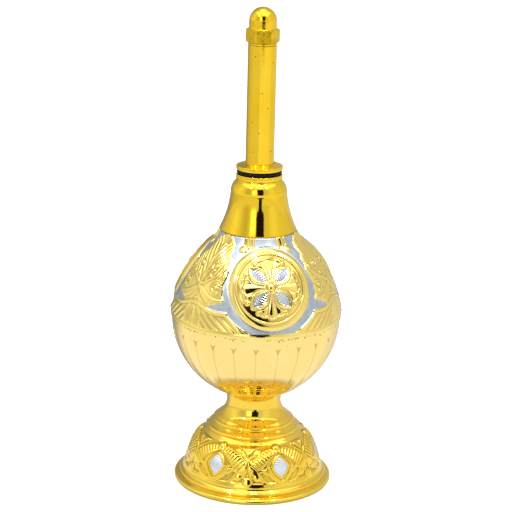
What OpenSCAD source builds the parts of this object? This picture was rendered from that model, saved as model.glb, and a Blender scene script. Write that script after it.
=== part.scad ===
// Sprinkler-type aspergillum: a plated brass bulb on a bell foot, with a screw-in spout and a drilled cap.
// The object stands on z = 0 with its axis on Z, and the side with the full medallion faces -Y.

/* [Foot] */
// Outer radius of the curled rim
rim_r = 35.4; // [33.5:0.1:38]
// Section radius of the curl along the rim
curl_r = 1.3; // [1:0.1:1.6]
// Depth of the flat that is ground under the curl
rim_flat = 0.2; // [0.1:0.05:0.4]
// Outer radius of the ledge bead above the rim
ledge_r = 33; // [32:0.1:34]
// Height of the ledge bead above the middle of the curl
ledge_rise = 2.6; // [2.2:0.1:3.2]
// Section radius of the ledge bead
ledge_bead_r = 0.85; // [0.6:0.05:0.9]
// Radius of the skirt wall where it rises from the ledge
skirt_foot_r = 30.2; // [29.6:0.1:31.2]
// Height of the sloping wall from the ledge bead to the skirt
skirt_foot_rise = 4.6; // [3.6:0.1:6]
// Radius of the skirt where its shoulder curve would stand upright
skirt_max_r = 29.1; // [28.5:0.1:29.8]
// Radius of the shoulder curve of the skirt
skirt_curve_r = 14.2; // [13:0.1:15]
// Height of the centre of that curve above the start of the skirt
skirt_curve_rise = 1.8; // [1:0.1:2.4]
// Outer radius of the lower step ring
ring_low_r = 20.6; // [20:0.05:21.4]
// Height of the lower step ring above the end of the shoulder curve
ring_low_rise = 2.5; // [1.8:0.1:3.2]
// Outer radius of the upper step ring
ring_high_r = 18.2; // [17.8:0.05:18.8]
// Height from the lower step ring to the upper one
ring_step = 3; // [2.3:0.1:3.6]
// Section radius of the step rings
ring_bead_r = 0.85; // [0.5:0.05:0.9]
// Least radius of the waist
waist_r = 12.1; // [11:0.1:13]
// Height of the waist above the upper step ring
waist_rise = 9.3; // [8.7:0.1:10.5]
// Radius of the hollow curve of the waist
waist_curve_r = 8.5; // [8:0.1:9]
// How deep the bowl sinks into the flared top of the waist
seat_bite = 0.32; // [0.2:0.02:0.6]
// Sheet thickness of the foot
foot_wall = 0.9; // [0.9:0.05:1.2]

/* [Foot ornament] */
// Number of raised lozenges round the skirt
lozenge_count = 6; // [3:1:8]
// Angle of the first lozenge from the front
lozenge_turn = 26; // [0:1:59]
// Height of the lozenge centres above the start of the skirt
lozenge_rise = 6.7; // [5.7:0.1:7.7]
// Width of a lozenge
lozenge_w = 7.4; // [4:0.1:10]
// Height of a lozenge
lozenge_h = 9.6; // [5:0.1:11]
// How far the lozenges stand out of the skirt
lozenge_relief = 0.6; // [0.3:0.05:1]

/* [Bowl] */
// Outer radius of the bowl
bowl_r = 37.3; // [36.8:0.1:38.5]
// Height of the rim of the bowl above its equator
bowl_rim_rise = 2; // [1.4:0.1:2.4]
// Sheet thickness of the bowl
bowl_wall = 0.9; // [0.7:0.05:1.4]
// Number of flutes round the bowl
flute_count = 24; // [12:1:32]
// Angle of the first flute groove from the front
flute_turn = 0.5; // [0:0.5:15]
// Depth of a flute groove
flute_depth = 0.3; // [0.15:0.05:0.4]
// Radius of the tool that cuts the grooves
flute_tool_r = 0.6; // [0.5:0.05:1]
// Latitude of the middle of the grooves, below the equator of the bowl
flute_latitude = 38; // [34:1:42]
// Angle from the middle of a groove to its upper and lower ends
flute_half_angle = 31; // [24:1:33]

/* [Upper shell] */
// How far the lower edge of the shell laps over the rim of the bowl
lap = 1.4; // [1:0.1:1.8]
// Height of the lip that laps over the bowl
lip_h = 1.6; // [1.5:0.1:2.2]
// Height of the step from the lip in to the shoulder
lip_step = 0.8; // [0.6:0.1:1.2]
// Height of the shell from its lower edge to the seam with the neck
shell_h = 39.3; // [36:0.1:43]
// Radius of the shoulder curve, from the lip to the flare
shoulder_curve_r = 50; // [46:0.1:56]
// Height of the flare that turns up into the neck
flare_h = 4; // [3:0.1:4.6]
// Sheet thickness of the shell
shell_wall = 0.7; // [0.6:0.05:0.9]

/* [Medallions] */
// Number of medallions round the shell
medallion_count = 3; // [2:1:3]
// Angle of the first medallion from the front
medallion_turn = 11.5; // [0:0.5:60]
// Height of the medallion centres above the lower edge of the shell
medallion_rise = 21.3; // [19:0.1:22]
// Outer radius of the medallion ring
medallion_r = 17.6; // [14:0.1:18]
// Width of the medallion ring
medallion_band = 3; // [2:0.1:5]
// How far the medallions stand out of the shell
medallion_relief = 1; // [0.3:0.05:1.4]
// Length of a petal
petal_l = 10; // [7:0.1:10.5]
// Width of a petal
petal_w = 5; // [3:0.1:6]
// Radius of the centre bead
centre_bead_r = 2.3; // [1.5:0.1:3]
// How far the petals run in under the centre bead
petal_tuck = 0.5; // [0.3:0.1:1]

/* [Neck] */
// Least radius of the neck cone
neck_r = 12.2; // [11.8:0.1:13]
// Height above the seam at which the neck cone would stand upright
neck_waist_rise = 20.2; // [19.8:0.1:21.3]
// Radius of the hollow curve of the neck cone
neck_curve_r = 44.6; // [42:0.1:50]
// Height of the neck from the seam to its mouth
neck_h = 22.3; // [20:0.1:26]
// Height of the bead at the top of the cone, above the seam
neck_bead_rise = 17.4; // [16.3:0.1:18.3]
// Section radius of that bead
neck_bead_r = 0.5; // [0.3:0.05:0.7]
// Radius of the round shoulder above the bead
neck_shoulder_r = 6.4; // [5:0.1:9]
// Height of the upright rim at the mouth of the neck
neck_rim_h = 0.6; // [0.4:0.1:1]
// Sheet thickness of the neck
neck_wall = 0.8; // [0.6:0.05:0.9]
// How far the lower edge of the neck stands proud of the shell
neck_proud = 0.4; // [0.3:0.05:0.6]
// How far the shell's collar reaches up inside the neck
collar_h = 2.6; // [1.5:0.1:4]

/* [Neck bush] */
// Wall of the bush round its thread
bush_wall = 1.2; // [1:0.05:1.4]
// Thickness of the lip that sits on the mouth of the neck
bush_lip_h = 2.1; // [1.6:0.1:2.6]
// Length of the bush below its lip
bush_l = 9.6; // [8.5:0.1:11]

/* [Spout] */
// Radius of the screw thread of the plug
plug_thread_r = 7.95; // [7.5:0.05:8]
// Length of the plug below its flange
plug_l = 11.6; // [10.4:0.1:12.5]
// Radius of the bore through the plug
plug_bore_r = 4.6; // [3.5:0.1:5]
// Thickness of the flange at its edge
flange_h = 1.3; // [1:0.1:1.8]
// Height of the cone that rises from the flange to the tube
boss_h = 1.5; // [0.8:0.1:2.5]
// Wall of the cone round the tube at its top
boss_wall = 0.8; // [0.6:0.05:1.4]
// Depth of the socket that the tube sits in, below the top of the cone
socket_l = 4.4; // [3:0.1:6]
// Outer radius of the spout tube
tube_r = 6.2; // [5.9:0.05:6.4]
// Wall of the spout tube
tube_wall = 0.9; // [0.7:0.05:1.1]
// Length of the spout tube
tube_l = 55.6; // [40:0.1:80]

/* [Seal ring] */
// Section radius of the seal ring
seal_section_r = 0.85; // [0.7:0.05:1]

/* [Nozzle] */
// Radius of the screw thread of the nipple
nipple_thread_r = 3.95; // [3.5:0.05:4.5]
// Length of the nipple that is soldered into the tube
nipple_root_l = 8; // [5:0.5:12]
// Length of the nipple above the tube
nipple_l = 7; // [6:0.1:8]
// Radius of the bore through the nipple
nipple_bore_r = 2; // [1:0.1:2.4]
// Thickness of the washer under the cap
cap_washer_h = 0.8; // [0.5:0.1:1.2]
// Width of the cap across the flats of its hexagon
cap_flats = 13; // [12.4:0.1:14]
// Height of the hexagon
cap_hex_h = 5.9; // [4:0.1:6.5]
// Angle of the first flat of the hexagon from the front
cap_turn = 5.4; // [0:0.1:59]
// Depth of the chamfers on the corners of the hexagon
cap_chamfer = 0.55; // [0.3:0.05:0.8]
// Radius of the dome
dome_r = 5.95; // [5.6:0.05:6.1]
// Height of the straight part of the dome
dome_h = 3.2; // [2.5:0.1:5]
// Space above the end of the nipple inside the cap
nipple_end_gap = 2.7; // [1:0.1:3]
// Radius of the jet hole at the tip
jet_r = 0.6; // [0.3:0.05:1]

/* [Foot screw] */
// Radius of the stud that holds the foot
stud_r = 2.45; // [2:0.05:2.9]
// Radius of the stud's head inside the bowl
stud_head_r = 5; // [4:0.1:6]
// Thickness of the stud's head
stud_head_h = 1.5; // [1:0.1:2.5]
// Length of the stud below its head
stud_l = 8.8; // [8.2:0.1:10]
// Radius of the washer inside the foot
washer_r = 6.5; // [5:0.1:8]
// Thickness of that washer
washer_h = 1; // [0.6:0.1:1.4]
// Width of the nut across its flats
nut_flats = 8; // [7:0.1:9]
// Height of the nut
nut_h = 4; // [3:0.1:4.4]

/* [Clearances] */
// Gap that solder fills between lapped sheets and seated pieces
solder_gap = 0.1; // [0.05:0.01:0.15]
// Radial clearance of the screw threads and of the tube in its socket
thread_gap = 0.05; // [0.02:0.01:0.1]
// Gap round the seal ring and above and below the cap's washer
seal_gap = 0.15; // [0.1:0.01:0.3]

/* [Hidden] */
$fn = 96;

// Steps along each curved stretch of an outline
arc_steps = 12;
// Overshoot of cuts, so that no face is shared
cut = 1;

gold = [0.9, 0.72, 0.18];
brass = [0.8, 0.64, 0.3];
black = [0.08, 0.08, 0.08];

// Angles at which the skirt's shoulder and the waist's hollow start and end
skirt_start_angle = 17;
skirt_end_angle = 60;
waist_start_angle = 240;
waist_end_angle = 148;

// Outline helpers: a path runs upwards, and its inner side is on the left
function arc(c, r, from, to) =
    [for (i = [0:arc_steps]) let (a = from + (to - from) * i / arc_steps) c + r * [cos(a), sin(a)]];
function bulge(c, r, z0, z1) = arc(c, r, asin((z0 - c[1]) / r), asin((z1 - c[1]) / r));
function hollow(c, r, z0, z1) = arc(c, r, 180 - asin((z0 - c[1]) / r), 180 - asin((z1 - c[1]) / r));
function hollow_r(c, r, z) = c[0] - sqrt(pow(r, 2) - pow(z - c[1], 2));
function across(d) = [-d[1], d[0]] / norm(d);
function centre_of(p, q, r) = (p + q) / 2 + sqrt(pow(r, 2) - pow(norm(q - p) / 2, 2)) * across(q - p);
function side(path, i) = across(path[min(i + 1, len(path) - 1)] - path[max(i - 1, 0)]);
function inset(path, t) = [for (i = [0:len(path) - 1]) path[i] + t * side(path, i)];
function reversed(list) = [for (i = [len(list) - 1:-1:0]) list[i]];

// Foot, from the floor up
curl_z = curl_r - rim_flat;
ledge_z = curl_z + ledge_rise;
skirt_foot_z = ledge_z + skirt_foot_rise;
skirt_centre = [skirt_max_r - skirt_curve_r, skirt_foot_z + skirt_curve_rise];
ring_low_z = skirt_centre[1] + skirt_curve_r * sin(skirt_end_angle) + ring_low_rise;
ring_high_z = ring_low_z + ring_step;
waist_centre = [waist_r + waist_curve_r, ring_high_z + waist_rise];
waist_top = waist_centre + waist_curve_r * [cos(waist_end_angle), sin(waist_end_angle)];
lozenge_z = skirt_foot_z + lozenge_rise;

// Bulb and neck, each seated on the piece below it
bowl_z = waist_top[1] - seat_bite + sqrt(pow(bowl_r + solder_gap, 2) - pow(waist_top[0], 2));
bowl_rim_z = bowl_z + bowl_rim_rise;
lip_r = bowl_r + solder_gap + shell_wall;
lip_z = bowl_rim_z - lap;
shoulder_foot = [lip_r - shell_wall, lip_z + lip_h + lip_step];
neck_seat_z = lip_z + shell_h;
neck_centre = [neck_r + neck_curve_r, neck_seat_z + neck_waist_rise];
neck_bead_z = neck_seat_z + neck_bead_rise;
flare_z = neck_seat_z - flare_h;
flare_curve_r = neck_curve_r + neck_proud;
shoulder_top = [hollow_r(neck_centre, flare_curve_r, flare_z), flare_z];
shoulder_centre = centre_of(shoulder_foot, shoulder_top, shoulder_curve_r);
medallion_z = lip_z + medallion_rise;
petal_reach = centre_bead_r + petal_l / 2 - petal_tuck;
bush_seat_z = neck_seat_z + neck_h + solder_gap;
bush_top_z = bush_seat_z + bush_lip_h;
bush_r = plug_thread_r + thread_gap + bush_wall;
bush_lip_r = bush_r + solder_gap + neck_wall;
neck_bead_edge = [hollow_r(neck_centre, neck_curve_r, neck_bead_z), neck_bead_z];
neck_top = [bush_lip_r, bush_seat_z - solder_gap];
neck_shoulder_top = neck_top - [0, neck_rim_h];
neck_shoulder_centre = centre_of(neck_bead_edge, neck_shoulder_top, neck_shoulder_r);

// Spout and nozzle
seal_r = plug_thread_r + seal_gap + seal_section_r;
flange_r = bush_lip_r;
flange_z = bush_top_z + 2 * (seal_section_r + seal_gap);
boss_r = tube_r + boss_wall;
boss_z = flange_z + flange_h + boss_h;
tube_z = boss_z - socket_l;
tube_top_z = tube_z + tube_l;
cap_washer_z = tube_top_z + seal_gap;
cap_z = cap_washer_z + cap_washer_h + seal_gap;
cap_hole_l = tube_top_z + nipple_l + nipple_end_gap - cap_z;
hex_top_z = cap_z + cap_hex_h;

// Foot screw
stud_head_z = bowl_z - sqrt(pow(bowl_r - bowl_wall, 2) - pow(stud_head_r, 2)) + solder_gap;
washer_top_z = bowl_z - bowl_r - solder_gap - foot_wall - solder_gap;
nut_z = washer_top_z - washer_h - solder_gap - nut_h;

// Outlines
skirt_path = concat(
    [[skirt_foot_r, skirt_foot_z]],
    arc(skirt_centre, skirt_curve_r, skirt_start_angle, skirt_end_angle)
);
foot_path = concat(
    [[rim_r - curl_r, curl_z], [ledge_r - ledge_bead_r, ledge_z]],
    skirt_path,
    [[ring_low_r - ring_bead_r, ring_low_z], [ring_high_r - ring_bead_r, ring_high_z]],
    arc(waist_centre, waist_curve_r, waist_start_angle, waist_end_angle)
);
shoulder_path = bulge(shoulder_centre, shoulder_curve_r, shoulder_foot[1], shoulder_top[1]);
flare_path = [for (z = [flare_z + lip_step, neck_seat_z - lip_step]) [hollow_r(neck_centre, flare_curve_r, z), z]];
shell_path = concat(
    [[lip_r, lip_z], [lip_r, lip_z + lip_h]],
    shoulder_path,
    flare_path,
    hollow(neck_centre, neck_curve_r + neck_wall + solder_gap, neck_seat_z, neck_seat_z + collar_h)
);
neck_path = concat(
    hollow(neck_centre, neck_curve_r, neck_seat_z, neck_bead_z - neck_bead_r),
    bulge(neck_shoulder_centre, neck_shoulder_r, neck_bead_z, neck_shoulder_top[1]),
    [neck_top]
);

// A sheet of even thickness, turned about Z
module sheet(path, wall) {
    rotate_extrude() polygon(concat(path, reversed(inset(path, wall))));
}

// A solid turned about Z, from a path closed to the axis and down to a floor
module turned(path, floor_z) {
    rotate_extrude() polygon(concat(
        [[0, floor_z], [path[0][0], floor_z]],
        path,
        [[0, path[len(path) - 1][1]]]
    ));
}

// A round bead about Z
module bead(r, z, section_r) {
    translate([0, 0, z]) rotate_extrude() translate([r, 0]) circle(section_r);
}

// A tube about Z
module ring(outer_r, inner_r, z, h) {
    translate([0, 0, z]) difference() {
        cylinder(r = outer_r, h = h);
        translate([0, 0, -cut]) cylinder(r = inner_r, h = h + 2 * cut);
    }
}

// A hexagon with its corners chamfered at both ends
module chamfered_hex(flats, h, chamfer) {
    corner_r = flats / 2 / cos(30);
    flat_r = corner_r - 2 * chamfer;
    beyond_r = corner_r + 2 * chamfer;
    intersection() {
        cylinder(r = corner_r, h = h, $fn = 6);
        rotate_extrude() polygon([
            [0, 0], [flat_r, 0], [beyond_r, 2 * chamfer], [beyond_r, h - 2 * chamfer], [flat_r, h], [0, h]
        ]);
    }
}

// The ball that the bowl is pressed over, larger or smaller by a margin
module bowl_ball(margin) {
    translate([0, 0, bowl_z]) sphere(bowl_r + margin);
}

// A band that stands out of a turned sheet, for relief to be cut from
module relief_band(path, wall, relief) {
    sheet(inset(path, -relief), relief + wall / 2);
}

// One lozenge as a prism that looks outwards at the front
module lozenge_prism() {
    translate([0, 0, lozenge_z]) rotate([90, 0, 0]) linear_extrude(rim_r) polygon([
        [lozenge_w / 2, 0], [0, lozenge_h / 2], [-lozenge_w / 2, 0], [0, -lozenge_h / 2]
    ]);
}

// Foot: a deep-drawn bell with a curled rim, step rings and a dished seat for the bowl
module foot() {
    color(gold) {
        difference() {
            union() {
                turned(foot_path, curl_z);
                bead(ledge_r - ledge_bead_r, ledge_z, ledge_bead_r);
                bead(ring_low_r - ring_bead_r, ring_low_z, ring_bead_r);
                bead(ring_high_r - ring_bead_r, ring_high_z, ring_bead_r);
            }
            difference() {
                turned(inset(foot_path, foot_wall), -cut);
                bowl_ball(solder_gap + foot_wall);
            }
            bowl_ball(solder_gap);
            cylinder(r = stud_r + solder_gap, h = bowl_z);
        }
        difference() {
            bead(rim_r - curl_r, curl_z, curl_r);
            translate([0, 0, -curl_r]) cylinder(r = rim_r + cut, h = curl_r);
        }
        for (i = [0:lozenge_count - 1]) {
            rotate([0, 0, lozenge_turn + i * 360 / lozenge_count]) intersection() {
                relief_band(skirt_path, foot_wall, lozenge_relief);
                lozenge_prism();
            }
        }
    }
}

// One flute groove: part of a ring about the bowl's centre, below the front of its equator
module flute() {
    translate([0, 0, bowl_z]) rotate([0, 90, 0])
        rotate_extrude(angle = 2 * flute_half_angle, start = 270 + flute_latitude - flute_half_angle)
            translate([bowl_r - flute_depth + flute_tool_r, 0]) circle(flute_tool_r);
}

// Bowl: the lower half of the bulb, fluted all round
module bowl() {
    color(gold) difference() {
        intersection() {
            bowl_ball(0);
            cylinder(r = bowl_r + cut, h = bowl_rim_z);
        }
        bowl_ball(-bowl_wall);
        cylinder(r = stud_r + solder_gap, h = bowl_z);
        for (i = [0:flute_count - 1]) {
            rotate([0, 0, flute_turn + i * 360 / flute_count]) flute();
        }
    }
}

// A petal outline: two arcs that meet in points
module petal() {
    arc_r = (pow(petal_l, 2) + pow(petal_w, 2)) / 4 / petal_w;
    intersection() {
        translate([0, arc_r - petal_w / 2]) circle(arc_r);
        translate([0, petal_w / 2 - arc_r]) circle(arc_r);
    }
}

// One medallion as a prism along +Z: a ring round four petals
module medallion_prism() {
    linear_extrude(lip_r) difference() {
        circle(medallion_r);
        circle(medallion_r - medallion_band);
    }
    for (i = [0:3]) {
        rotate([0, 0, 45 + i * 90]) translate([petal_reach, 0, 0]) linear_extrude(lip_r) petal();
    }
}

// Upper shell: the embossed shoulder of the bulb, lapped over the bowl and into the neck
module upper_shell() {
    lean = asin((medallion_z - shoulder_centre[1]) / shoulder_curve_r);
    seat_r = shoulder_centre[0] + shoulder_curve_r * cos(lean);
    color(gold) {
        sheet(shell_path, shell_wall);
        for (i = [0:medallion_count - 1]) {
            rotate([0, 0, medallion_turn + i * 360 / medallion_count]) {
                intersection() {
                    relief_band(concat(shoulder_path, flare_path), shell_wall, medallion_relief);
                    translate([0, -seat_r, medallion_z]) rotate([90 - lean, 0, 0])
                        translate([0, 0, -lip_r / 2]) medallion_prism();
                }
                difference() {
                    translate([0, -seat_r, medallion_z]) sphere(centre_bead_r);
                    turned(inset(shoulder_path, shell_wall / 2), 0);
                }
            }
        }
    }
}

// Neck: a hollow-sided cone with a bead, closed in to the mouth
module neck() {
    color(gold) difference() {
        union() {
            sheet(neck_path, neck_wall);
            difference() {
                bead(neck_bead_edge[0] - neck_wall / 2, neck_bead_z, neck_bead_r);
                turned(inset(neck_path, neck_wall / 2), neck_seat_z);
            }
        }
        translate([0, 0, neck_seat_z - cut]) cylinder(r = lip_r, h = cut + solder_gap);
    }
}

// Neck bush: the threaded socket in the mouth of the neck, with the lip that the seal sits on
module neck_bush() {
    color(gold) difference() {
        union() {
            translate([0, 0, bush_seat_z]) cylinder(r = bush_lip_r, h = bush_lip_h);
            translate([0, 0, bush_seat_z - bush_l]) cylinder(r = bush_r, h = bush_l + bush_lip_h / 2);
        }
        translate([0, 0, bush_seat_z - bush_l - cut])
            cylinder(r = plug_thread_r + thread_gap, h = bush_l + bush_lip_h + 2 * cut);
    }
}

// Bowl stud: headed inside the bowl, it draws the foot up against it
module bowl_stud() {
    color(brass) {
        translate([0, 0, stud_head_z]) cylinder(r = stud_head_r, h = stud_head_h);
        translate([0, 0, stud_head_z - stud_l]) cylinder(r = stud_r, h = stud_l + stud_head_h / 2);
    }
}

module foot_washer() {
    color(brass) ring(washer_r, stud_r + solder_gap, washer_top_z - washer_h, washer_h);
}

module foot_nut() {
    color(brass) translate([0, 0, nut_z]) difference() {
        chamfered_hex(nut_flats, nut_h, nut_h / 12);
        translate([0, 0, -cut]) cylinder(r = stud_r + thread_gap, h = nut_h + 2 * cut);
    }
}

module o_ring() {
    color(black) bead(seal_r, bush_top_z + seal_gap + seal_section_r, seal_section_r);
}

// Spout plug: screws into the bush, with a flange over the seal and a socket for the tube
module spout_plug() {
    color(gold) difference() {
        rotate_extrude() polygon([
            [0, flange_z - plug_l], [plug_thread_r, flange_z - plug_l], [plug_thread_r, flange_z],
            [flange_r, flange_z], [flange_r, flange_z + flange_h], [boss_r, boss_z], [0, boss_z]
        ]);
        translate([0, 0, flange_z - plug_l - cut]) cylinder(r = plug_bore_r, h = plug_l + cut + boss_z);
        translate([0, 0, tube_z - solder_gap]) cylinder(r = tube_r + thread_gap, h = socket_l + cut);
    }
}

module spout_tube() {
    color(gold) ring(tube_r, tube_r - tube_wall, tube_z, tube_l);
}

// Nozzle nipple: a hollow threaded stub in the end of the tube
module nozzle_nipple() {
    root_r = tube_r - tube_wall - thread_gap;
    color(brass) difference() {
        union() {
            translate([0, 0, tube_top_z - nipple_root_l]) cylinder(r = root_r, h = nipple_root_l);
            translate([0, 0, tube_top_z - nipple_root_l])
                cylinder(r = nipple_thread_r, h = nipple_root_l + nipple_l);
        }
        translate([0, 0, tube_top_z - nipple_root_l - cut])
            cylinder(r = nipple_bore_r, h = nipple_root_l + nipple_l + 2 * cut);
    }
}

module nozzle_washer() {
    color(gold) ring(tube_r, nipple_thread_r + seal_gap, cap_washer_z, cap_washer_h);
}

// Nozzle cap: a domed hexagon nut, drilled at the tip
module nozzle_cap() {
    color(gold) difference() {
        union() {
            translate([0, 0, cap_z]) rotate([0, 0, cap_turn])
                chamfered_hex(cap_flats, cap_hex_h, cap_chamfer);
            translate([0, 0, hex_top_z - cap_chamfer]) cylinder(r = dome_r, h = dome_h + cap_chamfer);
            translate([0, 0, hex_top_z + dome_h]) sphere(dome_r);
        }
        translate([0, 0, cap_z - cut]) cylinder(r = nipple_thread_r + thread_gap, h = cap_hole_l + cut);
        translate([0, 0, cap_z]) cylinder(r = jet_r, h = cap_hex_h + dome_h + dome_r + cut);
    }
}

foot();
bowl();
upper_shell();
neck();
neck_bush();
bowl_stud();
foot_washer();
foot_nut();
o_ring();
spout_plug();
spout_tube();
nozzle_nipple();
nozzle_washer();
nozzle_cap();
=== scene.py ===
import math
from functools import partial, reduce

import bpy
import numpy as np
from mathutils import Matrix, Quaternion, Vector


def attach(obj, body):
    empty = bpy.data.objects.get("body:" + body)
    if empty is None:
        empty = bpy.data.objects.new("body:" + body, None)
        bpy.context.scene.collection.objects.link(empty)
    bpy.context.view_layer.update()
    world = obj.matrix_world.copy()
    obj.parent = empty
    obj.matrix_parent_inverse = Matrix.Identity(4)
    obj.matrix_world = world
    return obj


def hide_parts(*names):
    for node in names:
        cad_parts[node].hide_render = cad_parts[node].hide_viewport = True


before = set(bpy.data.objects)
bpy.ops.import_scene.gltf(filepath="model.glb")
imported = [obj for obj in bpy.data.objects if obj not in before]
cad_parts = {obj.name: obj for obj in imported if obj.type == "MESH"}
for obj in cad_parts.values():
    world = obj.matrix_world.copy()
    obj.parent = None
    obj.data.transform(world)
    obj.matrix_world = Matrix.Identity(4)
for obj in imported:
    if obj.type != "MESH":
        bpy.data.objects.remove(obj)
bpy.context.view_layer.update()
scene = bpy.context.scene
mm = 0.001


# small helpers

def hexLinear(code):
    channels = [int(code[i:i + 2], 16) / 255 for i in (1, 3, 5)]
    return [c / 12.92 if c <= 0.04045 else ((c + 0.055) / 1.055) ** 2.4 for c in channels] + [1.0]


def addNode(tree, kind, inputs=(), **settings):  # an input is a value, a socket, or a node for its first live output
    node = tree.nodes.new(kind)
    for key, value in settings.items():
        setattr(node, key, value)
    for key, value in inputs.items() if isinstance(inputs, dict) else enumerate(inputs):
        if isinstance(value, bpy.types.Node):
            value = next(socket for socket in value.outputs if socket.enabled)
        if isinstance(value, bpy.types.NodeSocket):
            tree.links.new(value, node.inputs[key])
        else:
            node.inputs[key].default_value = value
    return node


def smooth(low, high, x):
    t = np.clip((x - low) / (high - low), 0, 1)
    return t * t * (3 - 2 * t)


def wave(x, period):  # 1 on its crests and 0 between them
    return 0.5 + 0.5 * np.cos(2 * np.pi * x / period)


def roll(d, width):  # half-round ridge, 1 on its crest and 0 at its edges
    return np.sqrt(np.clip(1 - (d / width) ** 2, 0, 1))


def highest(*forms):
    return reduce(np.maximum, forms)


def soften(points):  # cuts the corners of an open line until it runs smoothly
    p = np.array(points, float)
    for _ in range(3):
        a, b = p[:-1] * 0.75 + p[1:] * 0.25, p[:-1] * 0.25 + p[1:] * 0.75
        p = np.concatenate([p[:1], np.stack([a, b], 1).reshape(-1, 2), p[-1:]])
    return p


def toSegment(x, y, ax, ay, ex, ey):  # distance to a straight piece from a on, and the share of it passed there
    t = np.clip(((x - ax) * ex + (y - ay) * ey) / max(ex * ex + ey * ey, 1e-9), 0, 1)
    return np.hypot(x - ax - t * ex, y - ay - t * ey), t


def stroke(x, y, points):  # distance to a drawn line, and how far along it, from 0 to 1
    p = soften(points)
    steps = p[1:] - p[:-1]
    lengths = np.hypot(*steps.T)
    starts = np.concatenate([[0], np.cumsum(lengths)])
    best, along = np.full(x.shape, 1e9), np.zeros(x.shape)
    for a, step, length, start in zip(p, steps, lengths, starts):
        d, t = toSegment(x, y, *a, *step)
        along = np.where(d < best, (start + t * length) / starts[-1], along)
        best = np.minimum(best, d)
    return best, along


def bar(x, y, points, height, width, taper=0.0):  # half-round bar along a line, narrower towards its end
    d, t = stroke(x, y, points)
    return height * roll(d, width - taper * t)


def bead(x, y, place, size, height, blunt=1.0):
    return height * roll(np.hypot(x - place[0], y - place[1]), size) ** blunt


def leaf(x, y, points, width, height):  # a tapering leaf along a line, creased down its middle
    d, t = stroke(x, y, points)
    w = width * np.sin(np.pi * np.clip(t * 0.92 + 0.08, 0, 1)) ** 0.6
    return height * roll(d, np.maximum(w, 1e-3)) - 0.25 * height * np.exp(-(d / 0.28) ** 2) * (d < w)


def inside(x, y, points):  # signed distance to a closed outline, positive inside it
    closed = list(points) + [points[0]]
    best, odd = np.full(x.shape, 1e9), np.zeros(x.shape, bool)
    for (ax, ay), (bx, by) in zip(closed[:-1], closed[1:]):
        ex, ey = bx - ax, by - ay
        best = np.minimum(best, toSegment(x, y, ax, ay, ex, ey)[0])
        if abs(ey) > 1e-9:
            odd ^= ((ay > y) != (by > y)) & (x < ax + (y - ay) * ex / ey)
    return np.where(odd, best, -best)


def hollowness(h):  # how far a point lies below the mean of its surroundings, in mm
    reach = 3
    pad = np.pad(h, reach, mode="edge")
    total = np.zeros_like(h)
    for i in range(0, 2 * reach + 1, 2):
        for j in range(0, 2 * reach + 1, 2):
            total += pad[i:i + h.shape[0], j:j + h.shape[1]]
    return np.maximum(total / (reach + 1) ** 2 - h, 0)


def arcPath(centre, radius, start, end, steps):
    a = np.radians(np.linspace(start, end, steps))
    return np.stack([centre[0] + radius * np.cos(a), centre[1] + radius * np.sin(a)], 1)


def rounded(points, radius):  # an outline with its corners filleted, closed
    p = np.array(points, float)
    out = []
    for k in range(len(p)):
        a, b, c = p[k - 1], p[k], p[(k + 1) % len(p)]
        u, v = (a - b) / np.linalg.norm(a - b), (c - b) / np.linalg.norm(c - b)
        half = math.acos(float(np.clip(u @ v, -1, 1))) / 2
        back = min(radius / math.tan(half), 0.45 * np.linalg.norm(a - b), 0.45 * np.linalg.norm(c - b))
        for t in np.linspace(0, 1, 4):
            out.append((1 - t) ** 2 * (b + u * back) + 2 * t * (1 - t) * b + t * t * (b + v * back))
    full = []
    for a, b in zip(out, out[1:] + out[:1]):
        length = np.linalg.norm(b - a)
        full.append(a)
        if length > 1.2:  # a point close to each end keeps a long flat flat under smooth shading
            full += [a + (b - a) * 0.2 / length, b - (b - a) * 0.2 / length]
    return np.array(full)


def sideways(path):  # unit normals of an upward path, to its right, which is outwards
    d = np.gradient(path, axis=0)
    n = np.stack([d[:, 1], -d[:, 0]], 1)
    return n / np.maximum(np.linalg.norm(n, axis=1, keepdims=True), 1e-9)


def turn(path, angles):  # spins (r, z) points through azimuths counted from the front, -Y, towards +X
    r, z = path[..., 0], path[..., 1]
    return np.stack([r * np.sin(angles), -r * np.cos(angles), z + 0 * angles], -1)


def gridMesh(name, grid, fullTurn=True, attributes=None):  # rows run along the section, columns round the axis
    rows, cols = grid.shape[:2]
    i = np.arange(rows)[:, None]
    j = np.arange(cols if fullTurn else cols - 1)[None, :]
    up, right = (i + 1) % rows, (j + 1) % cols
    quads = np.stack([i * cols + j, i * cols + right, up * cols + right, up * cols + j], -1).reshape(-1, 4)
    mesh = bpy.data.meshes.new(name)
    mesh.from_pydata((grid.reshape(-1, 3) * mm).tolist(), [], quads.tolist())
    for key, values in (attributes or {}).items():
        mesh.attributes.new(key, "FLOAT", "POINT").data.foreach_set("value", values.astype(np.float32).ravel())
    mesh.update()
    return mesh


def reliefMesh(name, loop, angles, first, normals, h, masks):
    # a sector with the section loop, raised by h from row first on; a mask is its values there and what is elsewhere
    path = np.repeat(loop[:, None, :], len(angles), 1)
    path[first:first + len(h)] += h[..., None] * normals[:, None, :]
    attributes = {}
    for key, (values, elsewhere) in masks.items():
        attributes[key] = np.full(path.shape[:2], elsewhere)
        attributes[key][first:first + len(values)] = values
    return gridMesh(name, turn(path, angles[None, :]), False, attributes)


def newObject(name, mesh):
    obj = bpy.data.objects.new(name, mesh)
    scene.collection.objects.link(obj)
    return obj


def settle(obj, material, body, nodes, sharp):  # finish, shading and the part it belongs to
    mesh = obj.data
    if not mesh.materials:
        mesh.materials.append(material)
    mesh.shade_smooth()
    mesh.set_sharp_from_angle(angle=math.radians(sharp))
    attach(obj, body)
    if nodes:
        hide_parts(*nodes)
    print("  piece", obj.name, len(mesh.polygons), "faces")


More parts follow.
